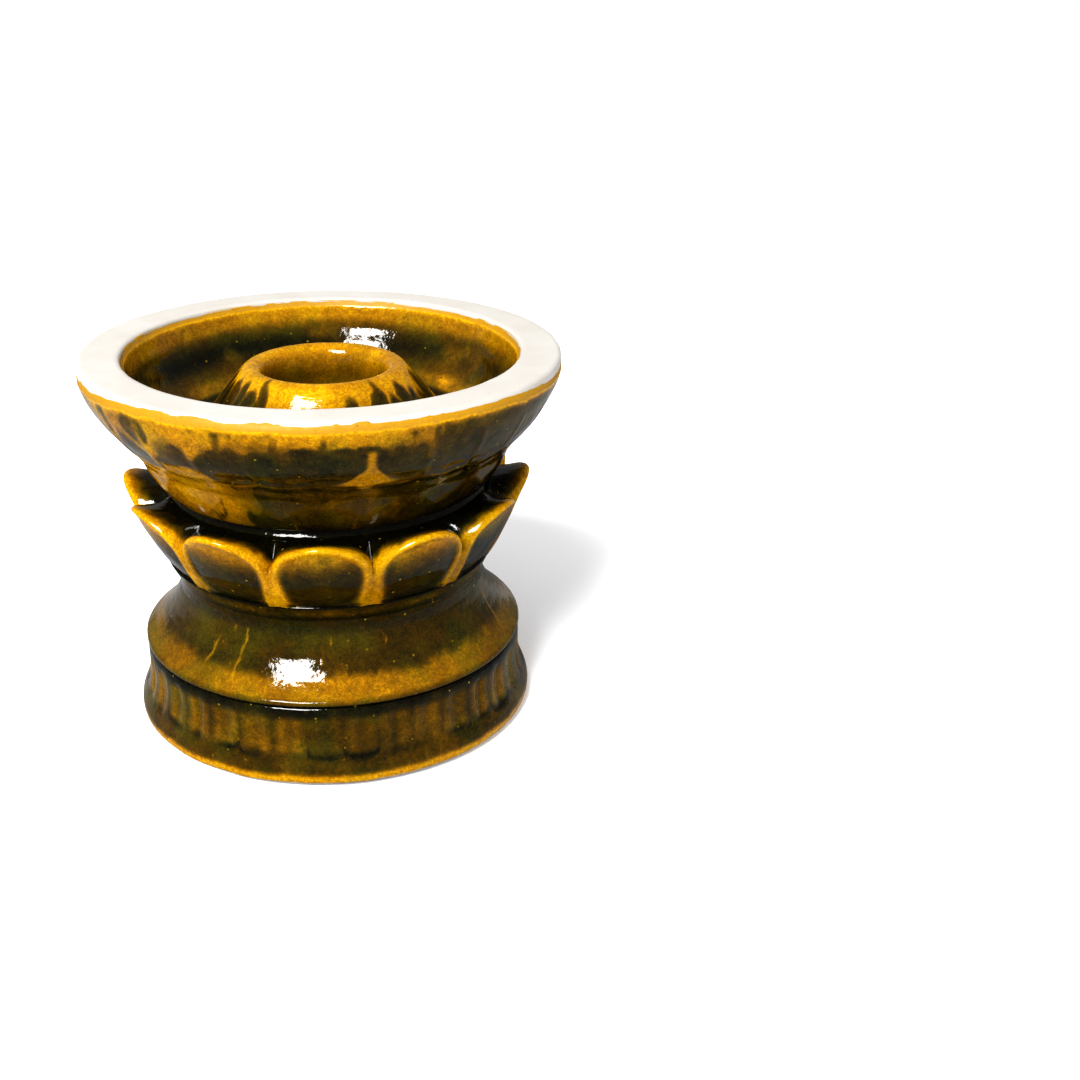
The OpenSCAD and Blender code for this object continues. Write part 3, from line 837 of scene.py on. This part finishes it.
def spread(line, stops, counts):
    # even steps between the named corners, so that both lines have matching points
    line = np.array(line)
    parts = []
    for (i, j), count in zip(zip(stops, stops[1:]), counts):
        piece = line[i:j + 1]
        lengths = np.concatenate([[0], np.cumsum(np.linalg.norm(np.diff(piece, axis=0), axis=1))])
        even = np.linspace(0, lengths[-1], count + 1)[:-1]
        parts.append(np.column_stack([np.interp(even, lengths, piece[:, k]) for k in (0, 1)]))
    return np.vstack(parts + [line[-1:]])


def smoothRows(points, sigma):
    # each row blurred along its length, with its ends kept
    reach = int(3 * sigma)
    weights = np.exp(-0.5 * (np.arange(-reach, reach + 1) / sigma) ** 2)
    weights /= weights.sum()
    first, last = points[..., :1, :], points[..., -1:, :]
    padded = np.concatenate([2 * first - points[..., reach:0:-1, :], points,
                             2 * last - points[..., -2:-reach - 2:-1, :]], axis=-2)
    out = 0
    for k, w in enumerate(weights):
        out = out + w * padded[..., k:k + points.shape[-2], :]
    return out


def petalSurface(angles):
    # outer skin of the collar at each angle: radius and height, with pooling
    look = petalLook
    pitch = 360 / look["count"]
    off = (angles - look["turn"] + pitch / 2) % pitch - pitch / 2
    index = np.round((angles - look["turn"]) / pitch)
    u = np.clip(np.abs(off) / (pitch / 2), 0, 1)
    weight = (1 - u ** 1.8) ** 0.75
    vary = 0.5 * np.sin(index * 5.1 + 1)
    crown = spread(crownLine, lineCorners, look["rows"])
    notch = spread(notchLine, lineCorners, look["rows"])
    line = notch[None] + (crown - notch)[None] * weight[:, None, None]
    line[..., 0] += 0.2 * vary[:, None] * weight[:, None] * ease(34, 42, line[..., 1])
    line = smoothRows(line, 1.6)
    steps = np.gradient(line, axis=1)
    steps /= np.linalg.norm(steps, axis=2, keepdims=True)
    normals = np.stack([steps[..., 1], -steps[..., 0]], axis=-1)
    r, z = line[..., 0], line[..., 1]
    base = placed(angles[:, None] + 0 * r, r, z)
    across = np.radians(off)[:, None] * look["radius"]
    tip = look["rows"][0] + look["rows"][1] // 2
    walked = np.concatenate([np.zeros((len(angles), 1)),
                             np.cumsum(np.linalg.norm(np.diff(line, axis=1), axis=2), axis=1)], axis=1)
    toTip = walked[:, tip:tip + 1] - walked
    onFace = ease(-0.1, 0.5, toTip)
    wander = 0.35 * roughLumps(base, 5, 81)
    half = look["fieldHalf"] * (0.92 + 0.08 * ease(31, 36, z)) + wander
    sideRoom = half - np.abs(across)
    topRoom = toTip - look["rim"] - 2.0 * u[:, None] ** 6 + wander * 0.5
    lowRoom = (z - 29.6) * 1.15 + wander * 0.3
    sharp = 0.8
    # room is how far inside the field a point is, with the field's corners rounded
    room = -np.log(np.exp(-sideRoom / sharp) + np.exp(-topRoom / sharp) + np.exp(-lowRoom / sharp)) * sharp
    field = ease(-0.8, 0.9, room)
    depth = look["fieldDepth"] * field * (0.75 + 0.25 * ease(41, 33, z))
    rim = hump(room, -0.9, 0.6)
    soft = roughLumps(base, 6, 82)
    small = roughLumps(base, 2.4, 83)
    fine = roughLumps(base, 1.1, 84)
    lift = -depth + 0.1 * rim * onFace + 0.03 * small
    r = r + lift * normals[..., 0]
    z = z + lift * normals[..., 1]
    # colour: bright rims, fields from amber at the top to green black at the bottom
    down = ease(41.4, 35.0, z + 1.2 * soft)
    turnedAngle = turned(angles)[:, None]
    darker = ease(25, 60, turnedAngle) * ease(150, 110, turnedAngle) * 0.14
    pool = 0.17 + 0.58 * down + 0.1 * small + 0.07 * fine + darker
    pool = mix(0.17 + 0.14 * soft + 0.06 * small + darker, pool, ease(-0.5, 1.0, room))
    pool = mix(pool, 0.06, 0.75 * rim * ease(34, 39, z))
    seam = hump(z, 30.2, 0.3) * ease(-0.8, 0.2, sideRoom)
    pool = mix(pool, 0.92, seam * 0.85)
    tipGlow = hump(toTip, -0.2, 1.1)
    pool = mix(pool, 0.05, 0.85 * tipGlow)
    inward = ease(-0.4, -1.4 - 3.4 * weight[:, None], toTip + 0.7 * small + 0.5 * fine)
    onTop = ease(0.2, -0.5, toTip)
    pool = mix(pool, mix(0.12, 0.93, inward ** 0.8), onTop)
    return r, z, np.clip(pool, 0.04, 1), normals


def petalPieces():
    count = 1440
    angles = ring(count)
    r, z, pool, normals = petalSurface(angles)
    shell = petalLook["shell"]
    inR, inZ = r - shell * normals[..., 0], z - shell * normals[..., 1]
    rows = np.unique(np.concatenate([np.arange(0, 44, 3), np.arange(44, 58), np.arange(58, r.shape[1], 4),
                                     [r.shape[1] - 1]]))[::-1]
    a = angles[:, None]
    front = placed(a + 0 * r, r, z)
    back = placed(a + 0 * inR[:, rows], inR[:, rows], inZ[:, rows])
    meshPiece("petalGlaze", np.concatenate([front, back], 1), oliveGlaze, ["glaze_petals"],
              np.concatenate([pool, np.ones((count, len(rows)))], 1))
    pitch = 360 / petalLook["count"]
    # radius and height in mm of the collar's seat, which the back of a petal follows
    seat = np.array([(27.5, 41.0), (27.0, 38.0), (26.4, 34.5), (26.0, 32.0), (25.8, 30.4)])
    for k in range(petalLook["count"]):
        centre = petalLook["turn"] + pitch * k
        mine = ring(61, centre - pitch / 2 + 0.2, centre + pitch / 2 - 0.2)
        r, z, _, normals = petalSurface(mine)
        outer = slice(6, 80, 2)
        under = shell + 0.02
        cr = r[:, outer] - under * normals[:, outer, 0]
        cz = z[:, outer] - under * normals[:, outer, 1]
        b = mine[:, None]
        face = placed(b + 0 * cr, cr, cz)
        rear = placed(b + 0 * seat[None, :, 0], seat[None, :, 0] + 0 * b, seat[None, :, 1] + 0 * b)
        meshPiece(f"petalClay{k + 1:02d}", np.concatenate([face, rear], 1), bareStoneware,
                  [f"petal_{k + 1:02d}"], closedRound=False)


petalPieces()
print("petals made")

for nodeName in ("foot_ring", "shoulder", "waist_collar"):
    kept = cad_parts[nodeName]
    for place in kept.material_slots:
        place.material = bareStoneware


# Light, floor and camera.
sceneLook = {
    "world": 0.72,          # strength of the white surroundings
    "mirrored": 0.3,        # how much of the white set shows in the gloss, as the camera side is dark
    "boxStrength": 24.0,    # brightness of the softbox, against white at 1
    "boxSize": 0.42,        # m
    "boxAway": 1.0,         # m
    "boxTowards": (-0.28, -0.66, 0.70),
    "floorHalf": 5.0,       # m
    "floorColour": "#F0F0F1",
    "floorGlow": 0.06,      # light that comes up through the paper, so that shadows stay faint
}

scene = bpy.context.scene
scene.view_settings.view_transform = "Standard"
scene.view_settings.look = "High Contrast"
world = bpy.data.worlds.new("studio")
world.use_nodes = True
scene.world = world
world.node_tree.nodes.clear()
ray = addNode(world.node_tree, "ShaderNodeLightPath").outputs["Is Glossy Ray"]
strength = addNode(world.node_tree, "ShaderNodeMapRange", {"To Min": sceneLook["world"],
                   "To Max": sceneLook["world"] * sceneLook["mirrored"]}, {"Value": ray})
white = addNode(world.node_tree, "ShaderNodeBackground", {"Color": linear("#FFFFFF")},
                {"Strength": strength.outputs[0]})
addNode(world.node_tree, "ShaderNodeOutputWorld", links={"Surface": white.outputs[0]})

box = bpy.data.lights.new("softbox", "AREA")
box.shape = "RECTANGLE"
box.size = sceneLook["boxSize"]
box.size_y = sceneLook["boxSize"]
box.energy = sceneLook["boxStrength"] * math.pi * box.size * box.size_y
boxObject = bpy.data.objects.new("softbox", box)
towards = Vector(sceneLook["boxTowards"]).normalized()
boxObject.location = towards * sceneLook["boxAway"] + Vector((0, 0, 0.04))
boxObject.rotation_euler = towards.to_track_quat("Z", "Y").to_euler()
scene.collection.objects.link(boxObject)


def makeFloor():
    half = sceneLook["floorHalf"]
    mesh = bpy.data.meshes.new("floor")
    corners = [(-half, -half, 0), (half, -half, 0), (half, half, 0), (-half, half, 0)]
    mesh.from_pydata(corners, [], [(0, 1, 2, 3)])
    material, tree = newMaterial("whitePaperSweep")
    ray = addNode(tree, "ShaderNodeLightPath").outputs["Is Glossy Ray"]
    seen = linear(sceneLook["floorColour"])
    dimmed = tuple(c * sceneLook["mirrored"] for c in seen[:3]) + (1.0,)
    shade = addNode(tree, "ShaderNodeMix", {6: seen, 7: dimmed}, {0: ray}, data_type="RGBA")
    paper = addNode(tree, "ShaderNodeBsdfDiffuse", {"Roughness": 1.0}, {"Color": shade.outputs[2]})
    glow = addNode(tree, "ShaderNodeMath", {1: -1.0, 2: 1.0}, {0: ray}, operation="MULTIPLY_ADD")
    faint = addNode(tree, "ShaderNodeMath", {1: sceneLook["floorGlow"]}, {0: glow.outputs[0]},
                    operation="MULTIPLY")
    light = addNode(tree, "ShaderNodeEmission", links={"Strength": faint.outputs[0]})
    both = addNode(tree, "ShaderNodeAddShader")
    tree.links.new(paper.outputs[0], both.inputs[0])
    tree.links.new(light.outputs[0], both.inputs[1])
    addNode(tree, "ShaderNodeOutputMaterial", links={"Surface": both.outputs[0]})
    mesh.materials.append(material)
    floor = bpy.data.objects.new("floor", mesh)
    scene.collection.objects.link(floor)


makeFloor()


cameraLook = {
    "sensor": 36.0,         # mm
    "lens": 47.57,          # mm
    "place": (36.9, -232.4, 131.2),  # mm
    "down": 23.5,           # degrees below level
    "roll": 1.02,           # degrees
    "reach": 50.0,          # m
}


def makeCamera():
    look = cameraLook
    camera = bpy.data.cameras.new("camera")
    camera.sensor_width = look["sensor"]
    camera.lens = look["lens"]
    camera.clip_end = look["reach"]
    pitchDown, roll = math.radians(look["down"]), math.radians(look["roll"])
    right = Vector((1, 0, 0))
    forward = Vector((0, math.cos(pitchDown), -math.sin(pitchDown)))
    up = Vector((0, math.sin(pitchDown), math.cos(pitchDown)))
    rolledRight = right * math.cos(roll) + up * math.sin(roll)
    rolledUp = up * math.cos(roll) - right * math.sin(roll)
    matrix = Matrix((rolledRight, rolledUp, -forward)).transposed().to_4x4()
    matrix.translation = Vector(look["place"]) * mm
    cameraObject = bpy.data.objects.new("camera", camera)
    cameraObject.matrix_world = matrix
    scene.collection.objects.link(cameraObject)
    scene.camera = cameraObject


makeCamera()
print("light, floor and camera made")
